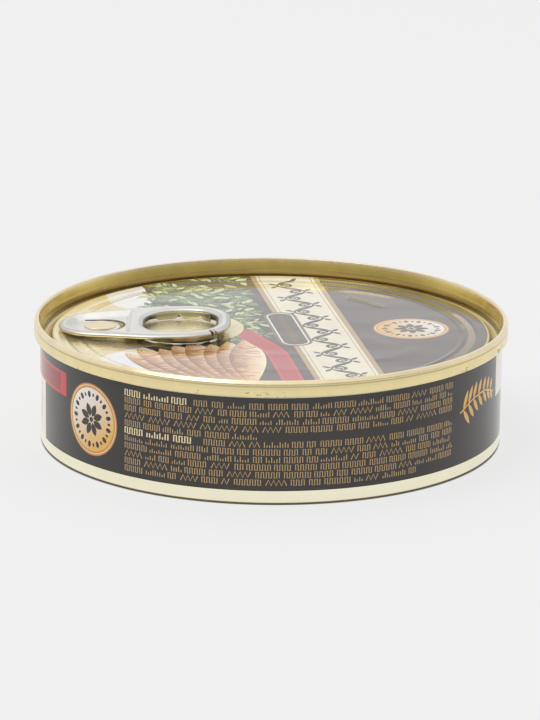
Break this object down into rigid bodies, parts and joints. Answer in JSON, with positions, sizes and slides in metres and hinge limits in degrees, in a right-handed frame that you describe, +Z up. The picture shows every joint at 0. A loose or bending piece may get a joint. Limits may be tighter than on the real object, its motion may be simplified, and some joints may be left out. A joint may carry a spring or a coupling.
{
  "type": "tin of sprats",
  "caption": "Shallow round shut fish tin with a seamed rim, a sunk printed lid and a ring-pull tab lying on it.",
  "frame": {"origin": "centre of the base, on the surface the tin stands on", "axes": "+Z up along the tin's axis; the pull tab lies along X with its nose towards -X"},
  "size_m": [0.1023, 0.1022, 0.027],
  "materials": {
    "body_print": "glossy black print over a pale gold lacquered tin wall",
    "lid_lacquer": "satin gold lacquer on tinplate, glossy print on the panel",
    "tab_metal": "bright satin tinplate, gold lacquer on its underside"
  },
  "bodies": {
    "root": {"can_body": "body_print", "lid": "lid_lacquer", "pull_tab": "tab_metal"}
  },
  "joints": []
}
